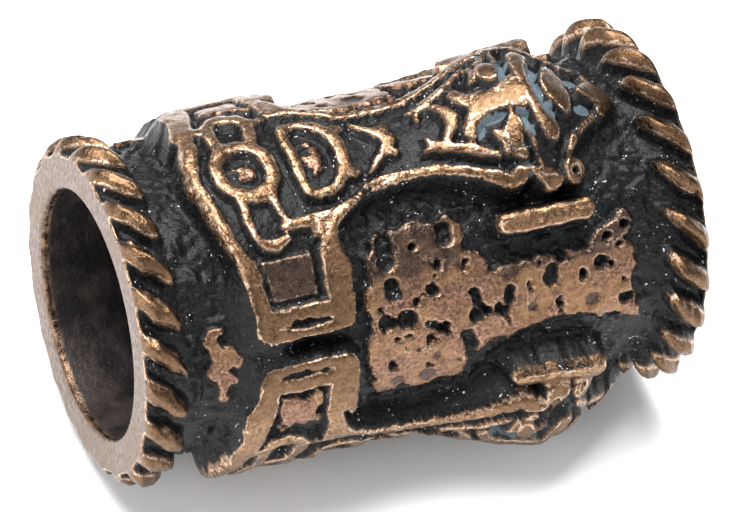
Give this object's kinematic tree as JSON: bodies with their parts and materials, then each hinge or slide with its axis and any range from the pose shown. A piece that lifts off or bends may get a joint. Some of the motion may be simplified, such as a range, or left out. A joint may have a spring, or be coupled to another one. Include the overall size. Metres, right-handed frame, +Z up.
{
  "type": "dreadlock bead",
  "caption": "Short open bronze tube that slides over a lock of hair, with a rope rim at each end and raised hammers with domed beaked grips round the barrel.",
  "frame": {"origin": "middle of the bore, halfway between the two end faces", "axes": "+X along the bore from the near rim (the lower, plainer end of the hammers) to the far rim, +Z up as the bead lies on its rims"},
  "size_m": [0.019, 0.0131, 0.013],
  "materials": {
    "bronze": "antiqued cast bronze, bright on the raised bands and black in the recesses"
  },
  "bodies": {
    "root": {"bead": "bronze"}
  },
  "joints": []
}
